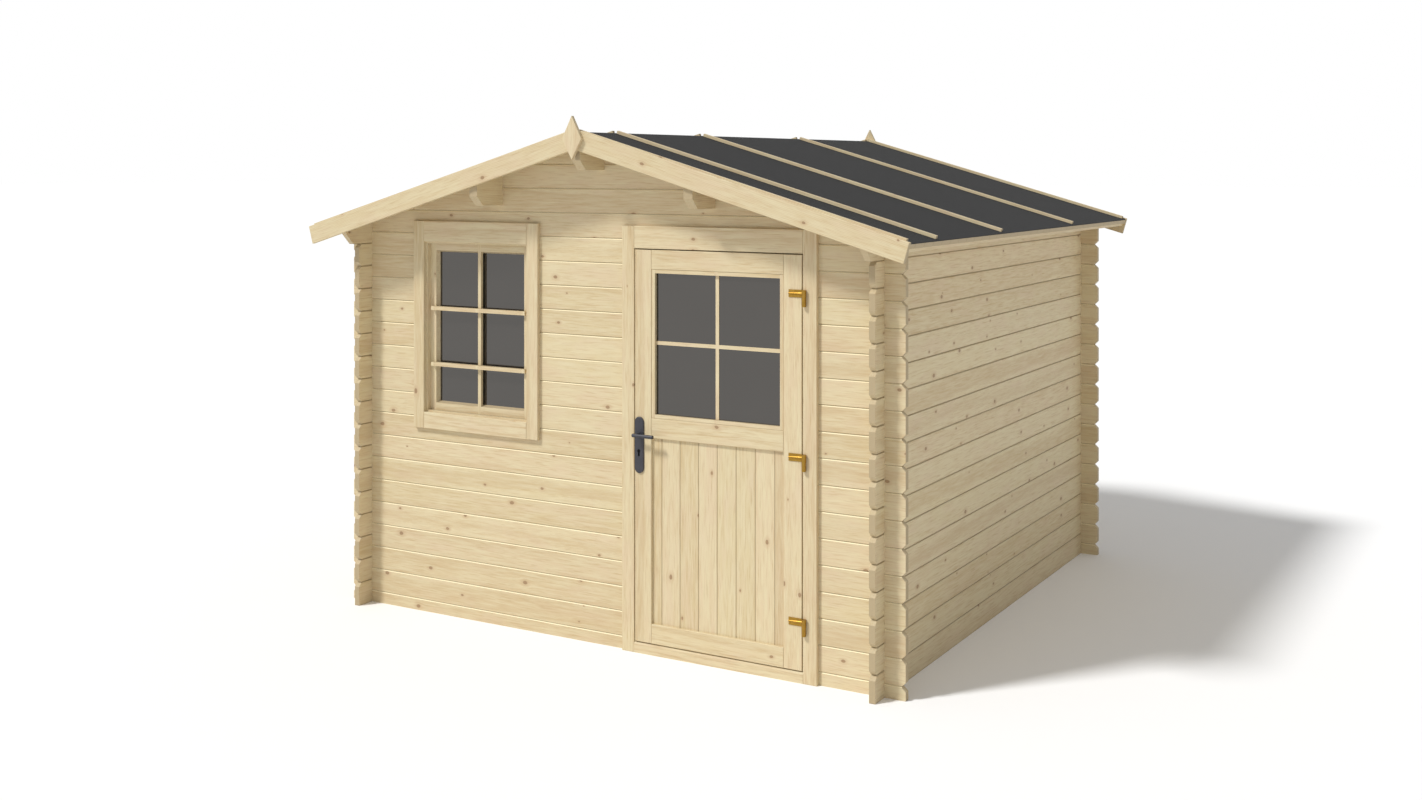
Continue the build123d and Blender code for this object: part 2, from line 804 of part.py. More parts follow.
with BuildPart() as handle_plates:
    add(outer_plate.part)
    mirror(outer_plate.part, about=leaf_middle)
save(handle_plates, "handle_plates")
grip_y = trim_front - lever_reach
with BuildPart() as outer_lever:
    with BuildSketch(Plane.YZ.offset(lever_x - lever_overhang)):
        with Locations((grip_y, handle_height)):
            Circle(lever_radius)
    extrude(amount=lever_length)
    ease(outer_lever.faces().sort_by(Axis.X)[0], lever_easing)
    ease(outer_lever.faces().sort_by(Axis.X)[-1], lever_easing)
    with BuildSketch(Plane.XZ.offset(-grip_y)):
        with Locations((lever_x, handle_height)):
            Circle(neck_radius)
    extrude(amount=-lever_reach)
with BuildPart() as lever_handles:
    add(outer_lever.part)
    mirror(outer_lever.part, about=leaf_middle)
    with BuildSketch(Plane.XZ.offset(-trim_front)):
        with Locations((lever_x, handle_height)):
            Circle(spindle_radius)
    extrude(amount=-door_thickness)
save(lever_handles, "lever_handles")

# Floor inside: joists on the ground and boards between the walls
joist_places = [
    frame_back + joist_inset + (inner_y - frame_back - 2 * joist_inset) * i / (joist_count - 1)
    for i in range(joist_count)
]
with BuildPart() as floor_joists:
    with Locations(*[(0, y, joist_height / 2) for y in joist_places]):
        Box(2 * inner_x, joist_width, joist_height)
save(floor_joists, "floor_joists")
floor_top = joist_height + floor_board_thickness
with BuildPart() as floor_boards:
    heights = (joist_height, floor_top)
    block((-inner_x, inner_x), (-inner_y, inner_y), heights)
    block((door_hole_left, door_hole_right), (-inner_y, frame_back), heights, mode=Mode.SUBTRACT)
    seam_count = int(inner_x / floor_board_width)
    spots = [(floor_board_width * seam, floor_top) for seam in range(-seam_count, seam_count + 1)]
    diamonds(Plane.XZ.offset(-inner_y), spots, board_groove, 2 * inner_y)
save(floor_boards, "floor_boards")
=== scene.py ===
from math import asin, cos, pi, radians, sin

import bmesh
import bpy
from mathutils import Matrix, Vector


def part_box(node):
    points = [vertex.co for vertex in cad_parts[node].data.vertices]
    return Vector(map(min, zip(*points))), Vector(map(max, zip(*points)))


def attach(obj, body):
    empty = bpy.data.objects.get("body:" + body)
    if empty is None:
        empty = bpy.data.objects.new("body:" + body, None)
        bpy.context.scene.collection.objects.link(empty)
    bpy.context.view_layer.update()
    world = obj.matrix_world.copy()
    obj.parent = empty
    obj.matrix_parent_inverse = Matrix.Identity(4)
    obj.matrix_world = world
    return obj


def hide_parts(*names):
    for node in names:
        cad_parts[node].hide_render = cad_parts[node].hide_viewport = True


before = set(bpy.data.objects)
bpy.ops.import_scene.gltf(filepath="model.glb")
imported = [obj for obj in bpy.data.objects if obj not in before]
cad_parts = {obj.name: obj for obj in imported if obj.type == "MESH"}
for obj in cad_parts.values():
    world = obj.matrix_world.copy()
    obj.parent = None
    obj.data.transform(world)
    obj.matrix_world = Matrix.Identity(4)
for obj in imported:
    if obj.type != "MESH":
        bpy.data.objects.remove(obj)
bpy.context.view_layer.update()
scene = bpy.context.scene

# Directions in the shed's frame, and down and up on both slopes
ROOF_PITCH = radians(15.95)
X = Vector((1, 0, 0))
Y = Vector((0, 1, 0))
Z = Vector((0, 0, 1))
RIGHT_SLOPE = Vector((cos(ROOF_PITCH), 0, -sin(ROOF_PITCH)))
LEFT_SLOPE = Vector((-cos(ROOF_PITCH), 0, -sin(ROOF_PITCH)))
RIGHT_UP = Vector((sin(ROOF_PITCH), 0, cos(ROOF_PITCH)))
LEFT_UP = Vector((-sin(ROOF_PITCH), 0, cos(ROOF_PITCH)))

# Widths of boards that the grain follows, and edges that they are counted from, in metres
LOG_HEIGHT = 0.114
HALF_COURSE = LOG_HEIGHT / 2
ROOF_BOARD = 0.096
PANEL_EDGE = 0.629
WHOLE = 10.0
WHOLE_EDGE = -5.0

# Lowest and highest x of the glazed openings, and half the width of the bar in their middle
WINDOW_LIGHT = (-1.000, -0.456, 0.009)
DOOR_LIGHT = (0.310, 0.948, 0.0085)

# Battens and finials, in metres
WALL_FRONT = -1.400
BATTEN_WIDTH = 0.018
BATTEN_HEIGHT = 0.0145
BATTEN_BEVEL = 0.0008
BATTEN_SETBACKS = (0.129, 0.931, 2.025)
BATTEN_RIDGE_GAP = 0.010
BATTEN_END = 1.6730
FINIAL_WIDTH = 0.106
FINIAL_THICKNESS = 0.018
FINIAL_BEVEL = 0.0015
FINIAL_WAIST_DROP = 0.004

# Screw heads and lock cylinders in the handle plates, in metres
SINK = 0.0005
SCREW_RADIUS = 0.0034
SCREW_RISE = 0.0011
SCREW_INSET = 0.018
PLATE_THICKNESS = 0.008
LOCK_HEIGHT = 0.921
LOCK_RADIUS = 0.0083
LOCK_HALF_SLOT = 0.0048
LOCK_DROP = 0.0238
LOCK_RISE = 0.004
FITTING_BEVEL = 0.0004
ARC_POINTS = 20

# The photograph's camera: where it stands, its turn and its lens
PHOTO_WIDTH = 1422
PHOTO_HEIGHT = 800
FOCAL_PIXELS = 1543.0
HORIZON_ROW = 165.1
CAMERA_PLACE = (4.037, -7.324, 2.220)
CAMERA_TURN = radians(30.17)
CAMERA_REACH = 500.0
SENSOR = 36.0

# Light and floor
SUN_PATH = Vector((0.53, 0.695, -1.0))
SUN_STRENGTH = 2.52
SUN_SIZE = radians(9.0)
SKY_STRENGTH = 0.46
FLOOR_HALF = 150.0
FLOOR_WHITE = 0.96


def srgb(red, green, blue):
    """A linear colour from 0 to 255 screen values."""
    def channel(value):
        share = value / 255
        return share / 12.92 if share <= 0.04045 else ((share + 0.055) / 1.055) ** 2.4
    return (channel(red), channel(green), channel(blue), 1.0)


class Graph:
    """A material's node tree, with short calls for the nodes used here."""

    def __init__(self, name):
        self.material = bpy.data.materials.new(name)
        self.material.use_nodes = True
        self.tree = self.material.node_tree
        self.shader = self.tree.nodes["Principled BSDF"]

    def plug(self, socket, value):
        if isinstance(value, bpy.types.NodeSocket):
            self.tree.links.new(value, socket)
        elif value is not None:
            socket.default_value = value

    def give(self, name, value):
        """A value or a socket for one of the shader's inputs."""
        self.plug(self.shader.inputs[name], value)

    def node(self, kind, inputs, **settings):
        made = self.tree.nodes.new(kind)
        for key, value in settings.items():
            setattr(made, key, value)
        for key, value in inputs.items():
            self.plug(made.inputs[key], value)
        return made

    def math(self, operation, a, b=None, c=None):
        made = self.node("ShaderNodeMath", {0: a, 1: b, 2: c}, operation=operation)
        return made.outputs[0]

    def plus(self, a, b):
        return self.math("ADD", a, b)

    def minus(self, a, b):
        return self.math("SUBTRACT", a, b)

    def times(self, a, b):
        return self.math("MULTIPLY", a, b)

    def over(self, a, b):
        return self.math("DIVIDE", a, b)

    def length(self, a, b):
        """The length of a vector with these two parts."""
        squares = self.plus(self.math("POWER", a, 2.0), self.math("POWER", b, 2.0))
        return self.math("SQRT", squares)

    def coordinates(self, kind="Object"):
        return self.node("ShaderNodeTexCoord", {}).outputs[kind]

    def along(self, vector, axis):
        """How far a vector goes along an axis."""
        made = self.node(
            "ShaderNodeVectorMath", {0: vector, 1: tuple(axis)}, operation="DOT_PRODUCT"
        )
        return made.outputs["Value"]

    def vector(self, x, y, z):
        made = self.node("ShaderNodeCombineXYZ", {0: x, 1: y, 2: z})
        return made.outputs[0]

    def split(self, vector):
        return self.node("ShaderNodeSeparateXYZ", {0: vector}).outputs

    def noise(self, vector, scale=1.0, detail=2.0, roughness=0.5):
        made = self.node(
            "ShaderNodeTexNoise",
            {"Vector": vector, "Scale": scale, "Detail": detail, "Roughness": roughness},
        )
        return made.outputs["Fac"]

    def random(self, number):
        """Three random shares for a whole number."""
        made = self.node("ShaderNodeTexWhiteNoise", {"W": number}, noise_dimensions="1D")
        return self.split(made.outputs["Color"])

    def ramp(self, value, low, high, out_low=0.0, out_high=1.0):
        made = self.node(
            "ShaderNodeMapRange",
            {0: value, 1: low, 2: high, 3: out_low, 4: out_high},
            interpolation_type="SMOOTHSTEP",
        )
        return made.outputs[0]

    def mix(self, share, a, b, blend="MIX"):
        made = self.node("ShaderNodeMix", {}, data_type="RGBA", blend_type=blend)
        self.plug(made.inputs["Factor"], share)
        self.plug(made.inputs["A"], a)
        self.plug(made.inputs["B"], b)
        return made.outputs["Result"]

    def bump(self, height, distance, strength):
        made = self.node(
            "ShaderNodeBump", {"Height": height, "Distance": distance, "Strength": strength}
        )
        self.give("Normal", made.outputs[0])


# Spruce, as it looks on the sunny front
WOOD_PALE = srgb(219, 205, 169)
WOOD_YELLOW = srgb(212, 198, 153)
WOOD_PINK = srgb(216, 194, 163)
WOOD_LINE = srgb(188, 160, 118)
WOOD_END = srgb(176, 160, 129)
# Painted highlight for the upward bevels in the gable walls' joints
BEVEL_PAINTED_HIGHLIGHT = srgb(250, 238, 200)
# The dark gap in each joint, with painted shade in the groove and on shaded bevels
JOINT_GAP_AND_PAINTED_SHADE = srgb(104, 82, 50)
KNOT_CORE = srgb(156, 126, 94)
KNOT_RIM = srgb(122, 90, 60)
KNOT_HALO = srgb(194, 164, 129)

# How seeds set boards apart, and how far a board's grain is slid along and across
FIRST_SEED_STEP = 37.13
SECOND_SEED_STEP = 91.7
SECOND_SEED_START = 5.5
SLIDE_ALONG = 40.0
SLIDE_ACROSS = 7.0

# Knots: length and width of their cells, least radius and how much more, how much shorter the
# grain makes them count along it, and how their edge wavers
KNOT_CELL_LONG = 0.42
KNOT_CELL_WIDE = 0.085
KNOT_LEAST = 0.0020
KNOT_MORE = 0.0052
KNOT_STRETCH = 0.66
KNOT_WAVER = 0.004
KNOT_WAVER_SCALE = 90.0

# Year rings: their width, the least depth of the pith behind the board and how much more, how
# far the pith sways, how the fibre disturbs a ring, and how knots push the rings aside
RING_WIDTH = 0.0052
PITH_LEAST = 0.02
PITH_MORE = 0.11
PITH_SWAY = 0.16
RING_DISTURBED = 0.5
PUSH_FADE = -0.11
PUSH_SHARE = 0.85

# Noise scales for each metre along the grain, across it and in depth
FINE_SCALES = (9.0, 160.0, 160.0)
STREAK_SCALES = (6.0, 62.0, 58.0)
CLOUD_SCALES = (4.5, 13.0, 1.0)
DRIFT_ALONG = 0.7
DRIFT_ACROSS = 3.0

# How bright a board is at least and how much more, and painted shade on the side walls: darker
# near the ground, lighter higher up
SHADE_LEAST = 0.955
SHADE_MORE = 0.035
FOOT_HEIGHT = 0.7
FOOT_PAINTED_SHADE = 0.96
UPPER_PAINTED_LIGHT = 1.035

# Joints on the gable walls, on the side walls and between narrower boards: how far the dark
# line, the gap with painted shade in the groove, reaches from the middle, and how strongly the
# line, the lower bevel of the board above (painted shade) and the upper bevel of the board
# below (a painted highlight on the gable walls, painted shade on the side walls) are tinted
GABLE_JOINT = (0.0022, 0.6, 0.4, 1.0)
SIDE_JOINT = (0.0045, 0.4, 0.3, 0.15)
BOARD_JOINT = (0.0032, 0.35, 0.0, 0.0)

# A bevel, where painted highlight and shade go, has a normal that leans this far, and an end's
# goes this far along the grain
BEVEL_LEAN = (0.4, 0.65)
END_LEAN = (0.6, 0.8)


def spruce(name, seed, along, across, board, first, knots, light=None):
    """Planed spruce: along and across are unit vectors in the shed's frame, and board is the
    width after which another board starts, counted across the grain from the place first.
    knots is the share of cells with a knot. light is for a glazed frame with upright grain:
    the lowest and highest x of its opening, where the grain is level, and half the width of
    the upright bar in its middle."""
    g = Graph(name)
    depth = along.cross(across)
    place = g.coordinates()
    u, v, w = (g.along(place, axis) for axis in (along, across, depth))
    if light:
        low, high, half_bar = light
        off = g.math("ABSOLUTE", g.minus(v, (low + high) / 2))
        inside = g.math("LESS_THAN", off, (high - low) / 2)
        level = g.times(inside, g.math("GREATER_THAN", off, half_bar))
        turn = g.times(g.minus(v, u), level)
        u, v = g.plus(u, turn), g.minus(v, turn)
    count = g.over(g.minus(v, first), board)
    number = g.math("FLOOR", count)
    dice = g.random(g.plus(number, seed * FIRST_SEED_STEP))
    more = g.random(g.plus(number, seed * SECOND_SEED_STEP + SECOND_SEED_START))
    u_own = g.math("MULTIPLY_ADD", dice[0], SLIDE_ALONG, u)
    v_own = g.math("MULTIPLY_ADD", dice[1], SLIDE_ACROSS, v)

    # Knots: one in some cells of a stretched grid
    cell = g.vector(g.over(u_own, KNOT_CELL_LONG), g.over(v_own, KNOT_CELL_WIDE), 0.0)
    cells = g.node(
        "ShaderNodeTexVoronoi", {"Vector": cell, "Scale": 1.0}, voronoi_dimensions="2D"
    )
    spot = g.split(cells.outputs["Position"])
    chance = g.split(cells.outputs["Color"])
    knot_u = g.minus(u_own, g.times(spot[0], KNOT_CELL_LONG))
    knot_v = g.minus(v_own, g.times(spot[1], KNOT_CELL_WIDE))
    waver = g.noise(g.vector(u_own, v_own, w), scale=KNOT_WAVER_SCALE, detail=1.0)
    far = g.length(g.times(knot_u, KNOT_STRETCH), knot_v)
    far = g.plus(far, g.times(g.minus(waver, 0.5), KNOT_WAVER))
    there = g.math("LESS_THAN", chance[0], knots)
    radius = g.math("MULTIPLY_ADD", chance[1], KNOT_MORE, KNOT_LEAST)
    share = g.over(far, radius)
    core = g.times(g.ramp(share, 1.05, 0.8), there)
    rim = g.times(g.times(g.ramp(share, 1.5, 1.0), g.ramp(share, 0.6, 1.0)), there)
    halo = g.times(g.ramp(share, 4.2, 1.0), there)

    # Fibre and year rings round a pith behind the board, bent round the knots
    push = g.math("EXPONENT", g.times(g.math("POWER", share, 2.0), PUSH_FADE))
    push = g.times(g.times(push, there), PUSH_SHARE)
    v_bent = g.minus(v_own, g.times(knot_v, push))

    def grain(over, scales, detail, roughness=0.5):
        spread = [g.times(part, scale) for part, scale in zip((u_own, over, w), scales)]
        return g.noise(g.vector(*spread), detail=detail, roughness=roughness)

    drift = g.noise(g.vector(g.times(u_own, DRIFT_ALONG), g.times(v_own, DRIFT_ACROSS), number))
    sway = g.math(
        "MULTIPLY_ADD", g.minus(drift, 0.5), PITH_SWAY, g.times(dice[1], SLIDE_ACROSS)
    )
    pith = g.plus(sway, g.math("MULTIPLY_ADD", number, board, first + board / 2))
    behind = g.plus(w, g.math("MULTIPLY_ADD", more[0], PITH_MORE, PITH_LEAST))
    ring_radius = g.length(g.minus(v_bent, pith), behind)
    fine = grain(v_bent, FINE_SCALES, 3.0, 0.6)
    rings = g.over(ring_radius, RING_WIDTH)
    ring = g.math("FRACT", g.math("MULTIPLY_ADD", g.minus(fine, 0.5), RING_DISTURBED, rings))
    late = g.times(g.ramp(ring, 0.35, 0.92), g.ramp(ring, 1.0, 0.93))

    # Streaks and clouds of colour
    streak = grain(v_bent, STREAK_SCALES, 4.0, 0.66)
    cloud = grain(v_own, CLOUD_SCALES, 2.0)
    warm = g.mix(g.ramp(more[1], 0.1, 0.9, 0.35, 0.65), WOOD_YELLOW, WOOD_PINK)
    body = g.mix(g.ramp(streak, 0.32, 0.68), WOOD_PALE, warm)
    body = g.mix(g.times(g.ramp(cloud, 0.45, 0.75), 0.5), body, WOOD_PINK)
    body = g.mix(g.times(late, g.ramp(streak, 0.2, 0.8, 0.15, 0.5)), body, WOOD_LINE)
    body = g.mix(g.times(g.ramp(fine, 0.48, 0.78), 0.6), body, WOOD_LINE)
    body = g.mix(g.times(halo, 0.45), body, KNOT_HALO)
    body = g.mix(g.times(core, 0.85), body, KNOT_CORE)
    body = g.mix(g.times(rim, 0.5), body, KNOT_RIM)
    shade = g.math("MULTIPLY_ADD", dice[2], SHADE_MORE, SHADE_LEAST)
    # Painted shade: side walls darker towards the ground and a little lighter higher up
    if across == Z and along == Y:
        shade = g.times(shade, g.ramp(v, 0.0, FOOT_HEIGHT, FOOT_PAINTED_SHADE, UPPER_PAINTED_LIGHT))
    body = g.mix(1.0, body, g.vector(shade, shade, shade), "MULTIPLY")

    # Sawn ends across the grain are duller
    normal = g.coordinates("Normal")
    ends = g.ramp(g.math("ABSOLUTE", g.along(normal, along)), *END_LEAN)
    body = g.mix(ends, body, g.mix(g.times(late, 0.4), WOOD_END, WOOD_LINE))

    # A dark line in each joint: the gap, with painted shade in the groove. Under it, a gable
    # wall's bevel gets a painted highlight and a side wall's painted shade
    if board <= LOG_HEIGHT:
        wall = across == Z
        gable = wall and along == X
        joint = GABLE_JOINT if gable else SIDE_JOINT if wall else BOARD_JOINT
        reach, line_share, down_shade_share, up_highlight_and_shade_share = joint
        middle = g.math("ABSOLUTE", g.minus(g.math("FRACT", count), 0.5))
        to_joint = g.times(g.minus(0.5, middle), board)
        body = g.mix(g.ramp(to_joint, reach, 0.0, 0.0, line_share), body, JOINT_GAP_AND_PAINTED_SHADE)
        if wall:
            little, much = BEVEL_LEAN
            tilt = g.along(normal, across)
            out = g.ramp(g.math("ABSOLUTE", g.along(normal, depth)), little, much)
            # Painted shade on downward bevels; on upward bevels a painted highlight for gables,
            # painted shade for side walls
            down = g.times(g.ramp(tilt, -little, -much, 0.0, down_shade_share), out)
            up = g.times(g.ramp(tilt, little, much, 0.0, up_highlight_and_shade_share), out)
            body = g.mix(down, body, JOINT_GAP_AND_PAINTED_SHADE)
            body = g.mix(up, body, BEVEL_PAINTED_HIGHLIGHT if gable else JOINT_GAP_AND_PAINTED_SHADE)

    g.give("Base Color", body)
    g.give("Roughness", g.ramp(fine, 0.2, 0.8, 0.52, 0.68))
    g.give("Specular IOR Level", 0.3)
    relief = g.minus(g.times(fine, 0.7), g.times(late, 0.5))
    relief = g.plus(relief, g.times(rim, -0.8))
    g.bump(relief, distance=0.0004, strength=0.7)
    return g.material


def felt():
    """Roofing felt with a fine mineral face."""
    g = Graph("felt")
    place = g.coordinates()
    grit = g.noise(place, scale=900.0, detail=2.0, roughness=0.7)
    patch = g.noise(place, scale=3.0, detail=3.0, roughness=0.55)
    colour = g.mix(g.ramp(grit, 0.35, 0.7), srgb(25, 25, 25), srgb(48, 48, 48))
    colour = g.mix(g.times(g.ramp(patch, 0.35, 0.7), 0.35), colour, srgb(39, 39, 39))
    g.give("Base Color", colour)
    g.give("Roughness", 0.92)
    g.give("Specular IOR Level", 0.25)
    g.bump(grit, distance=0.0012, strength=0.6)
    return g.material


def glass():
    """Panes that mirror the pale surroundings over a dark base colour, painted shade for an
    unlit room.
    """
    g = Graph("dark_glass")
    smear = g.noise(g.coordinates(), scale=5.0, detail=3.0, roughness=0.6)
    g.give("Base Color", g.mix(smear, srgb(30, 28, 26), srgb(38, 36, 34)))
    g.give("Roughness", g.ramp(smear, 0.3, 0.7, 0.03, 0.07))
    g.give("IOR", 1.92)
    g.give("Specular Tint", (1.0, 0.955, 0.90, 1.0))
    return g.material


def brass():
    """Yellow plated hinges, a little worn."""
    g = Graph("hinge_brass")
    place = g.coordinates()
    wear = g.noise(place, scale=60.0, detail=4.0, roughness=0.6)
    g.give("Base Color", g.mix(wear, srgb(142, 108, 42), srgb(182, 144, 68)))
    g.give("Roughness", g.ramp(wear, 0.3, 0.7, 0.28, 0.42))
    g.give("Metallic", 1.0)
    g.bump(g.noise(place, scale=420.0), distance=0.0003, strength=0.3)
    return g.material


def dark_metal():
    """Satin anthracite coating."""
    g = Graph("dark_metal")
    place = g.coordinates()
    speck = g.noise(place, scale=1400.0, detail=2.0, roughness=0.6)
    soft = g.noise(place, scale=25.0, detail=3.0)
    g.give("Base Color", g.mix(soft, srgb(54, 54, 60), srgb(66, 66, 72)))
    g.give("Roughness", g.ramp(soft, 0.3, 0.7, 0.42, 0.55))
    g.give("Metallic", 0.25)
    g.bump(speck, distance=0.0002, strength=0.35)
    return g.material


def keyhole_painted_shade():
    """Near black, painted shade for the unlit inside of a lock."""
    g = Graph("keyhole_painted_shade")
    soft = g.noise(g.coordinates(), scale=300.0)
    g.give("Base Color", g.mix(soft, srgb(12, 12, 13), srgb(20, 20, 21)))
    g.give("Roughness", 0.7)
    g.give("Specular IOR Level", 0.15)
    return g.material


def paint(material, *names):
    """One material in every slot of the named pieces."""
    for name in names:
        mesh = bpy.data.objects[name].data
        mesh.materials.clear()
        mesh.materials.append(material)


def prisms(name, outlines, depths, bevel, body="building"):
    """One object of prisms: each outline of 3-D points, pushed along its own depth vector."""
    shape = bmesh.new()
    for outline, depth in zip(outlines, depths):
        face = shape.faces.new([shape.verts.new(point) for point in outline])
        pushed = bmesh.ops.extrude_face_region(shape, geom=[face])
        moved = [item for item in pushed["geom"] if isinstance(item, bmesh.types.BMVert)]
        bmesh.ops.translate(shape, verts=moved, vec=depth)
    bmesh.ops.recalc_face_normals(shape, faces=shape.faces)
    edges = list(shape.edges)
    bmesh.ops.bevel(shape, geom=edges, offset=bevel, segments=2, profile=0.5, affect="EDGES")
    mesh = bpy.data.meshes.new(name)
    shape.to_mesh(mesh)
    shape.free()
    piece = bpy.data.objects.new(name, mesh)
    scene.collection.objects.link(piece)
    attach(piece, body)
    return piece


def make_battens():
    """Slim battens down both slopes, in the rows of the plain ones."""
    low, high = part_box("right_battens")
    rows = [low.y + BATTEN_WIDTH / 2, *[WALL_FRONT + y for y in BATTEN_SETBACKS]]
    rows.append(high.y - BATTEN_WIDTH / 2)
    ridge = Vector((0, 0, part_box("roofing_felt")[1].z))
    depth = Vector((0, BATTEN_WIDTH, 0))
    for side, slope, up in (("right", RIGHT_SLOPE, RIGHT_UP), ("left", LEFT_SLOPE, LEFT_UP)):
        outlines = []
        for y in rows:
            near = ridge + Vector((0, y - BATTEN_WIDTH / 2, 0))
            start = near + slope * BATTEN_RIDGE_GAP
            end = near + slope * BATTEN_END
            rise = up * BATTEN_HEIGHT
            outlines.append([start, end, end + rise, start + rise])
        piece = prisms(side + "_roof_battens", outlines, [depth] * len(rows), BATTEN_BEVEL)
        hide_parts(side + "_battens")


def make_finials():
    """Diamonds over the bargeboards' joints, wider than the plain ones."""
    low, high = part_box("finials")
    half = FINIAL_WIDTH / 2
    waist = (low.z + high.z) / 2 - FINIAL_WAIST_DROP
    corners = ((0, high.z), (half, waist), (0, low.z), (-half, waist))
    faces = (low.y, high.y - FINIAL_THICKNESS)
    outlines = [[Vector((x, y, z)) for x, z in corners] for y in faces]
    depth = Vector((0, FINIAL_THICKNESS, 0))
    piece = prisms("ridge_finials", outlines, [depth] * len(faces), FINIAL_BEVEL)
    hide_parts("finials")


def arc(x, y, z, radius, start, end):
    """Points round part of a circle that faces forward."""
    turns = [start + (end - start) * step / (ARC_POINTS - 1) for step in range(ARC_POINTS)]
    return [Vector((x + radius * cos(turn), y, z + radius * sin(turn))) for turn in turns]


def make_fittings():
    """Screw heads on both handle plates, and a lock cylinder in each keyhole."""
    low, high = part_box("handle_plates")
    x = (low.x + high.x) / 2
    whole_turn = 2 * pi * (ARC_POINTS - 1) / ARC_POINTS
    corner = asin(LOCK_HALF_SLOT / LOCK_RADIUS)
    foot = LOCK_HEIGHT - LOCK_DROP
    heads, head_depths, locks, lock_depths = [], [], [], []
    for face, out in ((low.y, -1), (high.y, 1)):
        for z in (high.z - SCREW_INSET, low.z + SCREW_INSET):
            heads.append(arc(x, face - out * SINK, z, SCREW_RADIUS, 0, whole_turn))
            head_depths.append(Vector((0, out * (SINK + SCREW_RISE), 0)))
        y = face - out * (PLATE_THICKNESS + SINK)
        outline = arc(x, y, LOCK_HEIGHT, LOCK_RADIUS, corner - pi / 2, 1.5 * pi - corner)
        outline += [Vector((x + side * LOCK_HALF_SLOT, y, foot)) for side in (-1, 1)]
        locks.append(outline)
        lock_depths.append(Vector((0, out * (SINK + LOCK_RISE), 0)))
    for name, outlines, depths in (
        ("plate_screws", heads, head_depths),
        ("lock_cylinders", locks, lock_depths),
    ):
        piece = prisms(name, outlines, depths, FITTING_BEVEL, "door")


def paint_wood():
    """Every timber, with the grain along its own length."""
    barges_right = ("front_right_bargeboard", "rear_right_bargeboard")
    barges_left = ("front_left_bargeboard", "rear_left_bargeboard")
    uprights = ("window_side_trims", "door_side_trims", "door_posts")
    levels = ("window_cross_trims", "door_head_trim", "door_head", "door_threshold")
    window = ("window_frame", "window_sash")
    rows = (
        # name, along, across, board width, first board's edge, knots, nodes, light
        ("log_front_base", X, Z, LOG_HEIGHT, HALF_COURSE, 0.45, ("front_wall_base",)),
        ("log_front_left", X, Z, LOG_HEIGHT, HALF_COURSE, 0.45, ("front_wall_left",)),
        ("log_front_middle", X, Z, LOG_HEIGHT, HALF_COURSE, 0.45, ("front_wall_middle",)),
        ("log_front_right", X, Z, LOG_HEIGHT, HALF_COURSE, 0.45, ("front_wall_right",)),
        ("log_front_gable", X, Z, LOG_HEIGHT, HALF_COURSE, 0.45, ("front_gable",)),
        ("log_rear", X, Z, LOG_HEIGHT, HALF_COURSE, 0.35, ("rear_wall", "rear_gable")),
        ("log_left", Y, Z, LOG_HEIGHT, 0.0, 0.3, ("left_wall",)),
        ("log_right", Y, Z, LOG_HEIGHT, 0.0, 0.38, ("right_wall",)),
        ("log_plates", Y, Z, LOG_HEIGHT, 0.0, 0.4, ("wall_plates",)),
        ("strip_wood", Y, X, WHOLE, WHOLE_EDGE, 0.3, ("eave_strips",)),
        ("purlin_wood", Y, Z, WHOLE, WHOLE_EDGE, 0.4, ("ridge_purlin", "side_purlins")),
        ("roof_boards_right", RIGHT_SLOPE, Y, ROOF_BOARD, 0.0, 0.4, ("right_roof_boards",)),
        ("roof_boards_left", LEFT_SLOPE, Y, ROOF_BOARD, 0.0, 0.4, ("left_roof_boards",)),
        ("battens_right", RIGHT_SLOPE, Y, 0.4, 0.0, 0.1, ("right_roof_battens",)),
        ("battens_left", LEFT_SLOPE, Y, 0.4, 0.0, 0.1, ("left_roof_battens",)),
        ("barge_right", RIGHT_SLOPE, RIGHT_UP, WHOLE, WHOLE_EDGE, 0.5, barges_right),
        ("barge_left", LEFT_SLOPE, LEFT_UP, WHOLE, WHOLE_EDGE, 0.5, barges_left),
        ("upright_trim", Z, X, 0.3, 0.0, 0.2, uprights),
        ("finial_wood", Z, X, 0.3, 0.1, 0.0, ("ridge_finials",)),
        ("level_trim", X, Z, 0.5, 0.0, 0.2, levels),
        ("window_wood", Z, X, 0.2, 0.0, 0.1, window, WINDOW_LIGHT),
        ("stile_wood", Z, X, 0.4, 0.0, 0.2, ("door_stiles",)),
        ("rail_wood", X, Z, 0.5, 0.0, 0.2, ("door_rails",)),
        ("bead_wood", Z, X, 0.3, 0.0, 0.0, ("door_glazing_bars",), DOOR_LIGHT),
        ("panel_wood", Z, X, ROOF_BOARD, PANEL_EDGE, 0.35, ("door_panel",)),
        ("joist_wood", X, Y, 0.3, 0.0, 0.3, ("floor_joists",)),
        ("floor_wood", Y, X, ROOF_BOARD, 0.0, 0.4, ("floor_boards",)),
    )
    for seed, (name, along, across, board, first, knots, nodes, *light) in enumerate(rows, 1):
        paint(spruce(name, seed, along, across, board, first, knots, *light), *nodes)


def paint_rest():
    """The felt, the panes, the metal and the painted shade in the keyholes."""
    paint(felt(), "roofing_felt")
    paint(glass(), "window_glass", "door_glass")
    paint(brass(), "door_hinges", "frame_hinges")
    paint(dark_metal(), "handle_plates", "lever_handles", "plate_screws")
    # Painted shade: the lock cylinders are near black, as the keyholes' unlit inside
    paint(keyhole_painted_shade(), "lock_cylinders")


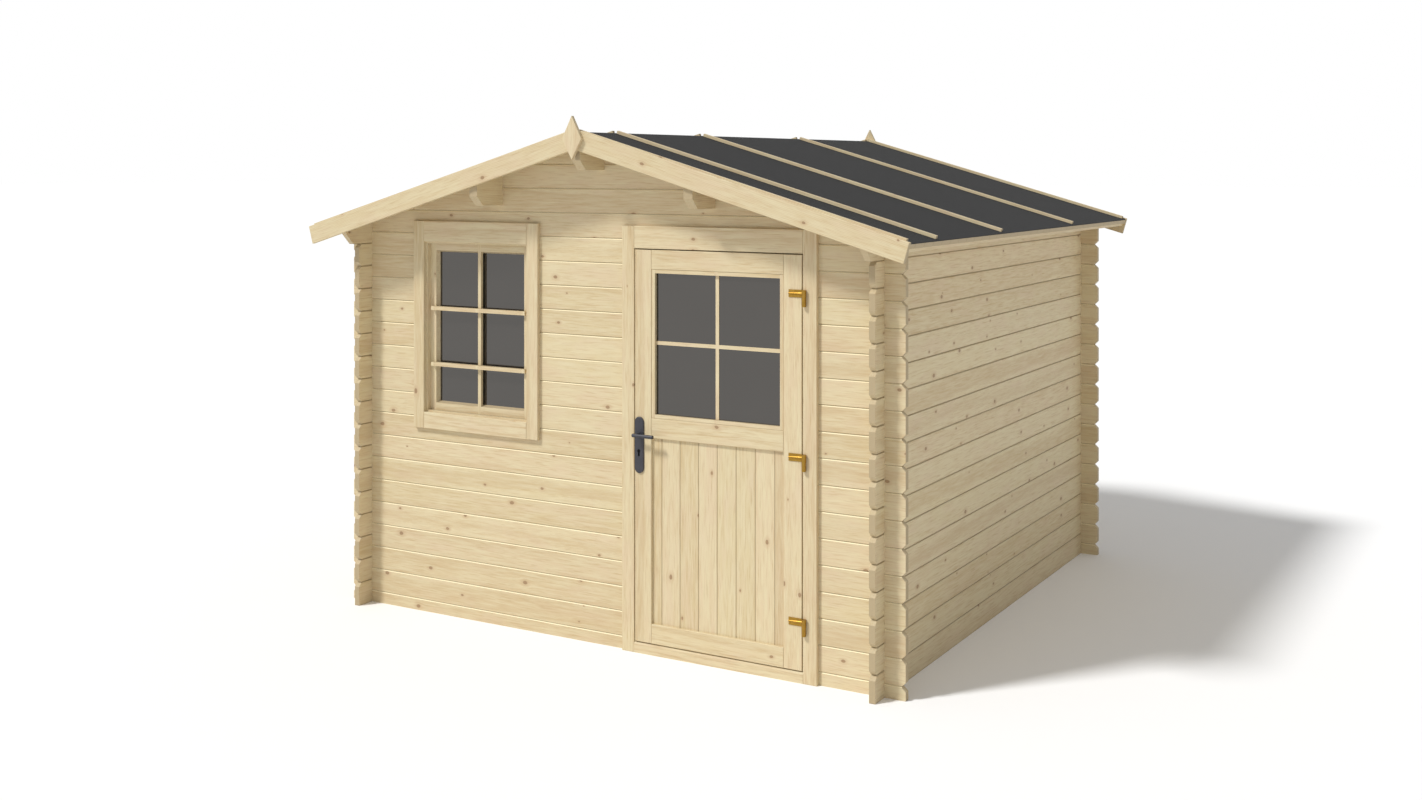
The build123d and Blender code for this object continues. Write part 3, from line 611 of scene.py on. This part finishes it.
def make_floor():
    """A wide white floor that keeps the shed's shadow."""
    corners = [
        (x * FLOOR_HALF, y * FLOOR_HALF, 0) for x, y in ((-1, -1), (1, -1), (1, 1), (-1, 1))
    ]
    mesh = bpy.data.meshes.new("floor")
    mesh.from_pydata(corners, [], [(0, 1, 2, 3)])
    floor = bpy.data.objects.new("floor", mesh)
    scene.collection.objects.link(floor)
    g = Graph("floor")
    g.give("Base Color", (FLOOR_WHITE, FLOOR_WHITE, FLOOR_WHITE, 1.0))
    g.give("Roughness", 1.0)
    g.give("Specular IOR Level", 0.0)
    mesh.materials.append(g.material)


def make_light():
    """A soft sun from the front left, and an even sky that camera and gloss see as white."""
    lamp = bpy.data.lights.new("sun", "SUN")
    lamp.energy = SUN_STRENGTH
    lamp.angle = SUN_SIZE
    sun = bpy.data.objects.new("sun", lamp)
    sun.rotation_euler = SUN_PATH.to_track_quat("-Z", "Y").to_euler()
    scene.collection.objects.link(sun)

    world = bpy.data.worlds.new("sky")
    scene.world = world
    world.use_nodes = True
    tree = world.node_tree
    background = tree.nodes["Background"]
    background.inputs["Color"].default_value = (1.0, 1.0, 1.0, 1.0)
    path = tree.nodes.new("ShaderNodeLightPath")
    seen = tree.nodes.new("ShaderNodeMath")
    seen.operation = "MAXIMUM"
    tree.links.new(path.outputs["Is Camera Ray"], seen.inputs[0])
    tree.links.new(path.outputs["Is Glossy Ray"], seen.inputs[1])
    strength = tree.nodes.new("ShaderNodeMapRange")
    strength.inputs["To Min"].default_value = SKY_STRENGTH
    strength.inputs["To Max"].default_value = 1.0
    tree.links.new(seen.outputs[0], strength.inputs["Value"])
    tree.links.new(strength.outputs[0], background.inputs["Strength"])


def make_camera():
    """The photograph's camera: level, with the frame shifted down."""
    data = bpy.data.cameras.new("camera")
    data.sensor_width = SENSOR
    data.lens = FOCAL_PIXELS * SENSOR / PHOTO_WIDTH
    data.shift_y = (HORIZON_ROW - PHOTO_HEIGHT / 2) / PHOTO_WIDTH
    data.clip_end = CAMERA_REACH
    camera = bpy.data.objects.new("camera", data)
    camera.location = CAMERA_PLACE
    camera.rotation_euler = (radians(90), 0.0, CAMERA_TURN)
    scene.collection.objects.link(camera)
    scene.camera = camera


scene.view_settings.view_transform = "Standard"
make_battens()
make_finials()
make_fittings()
paint_wood()
paint_rest()
make_floor()
make_light()
make_camera()
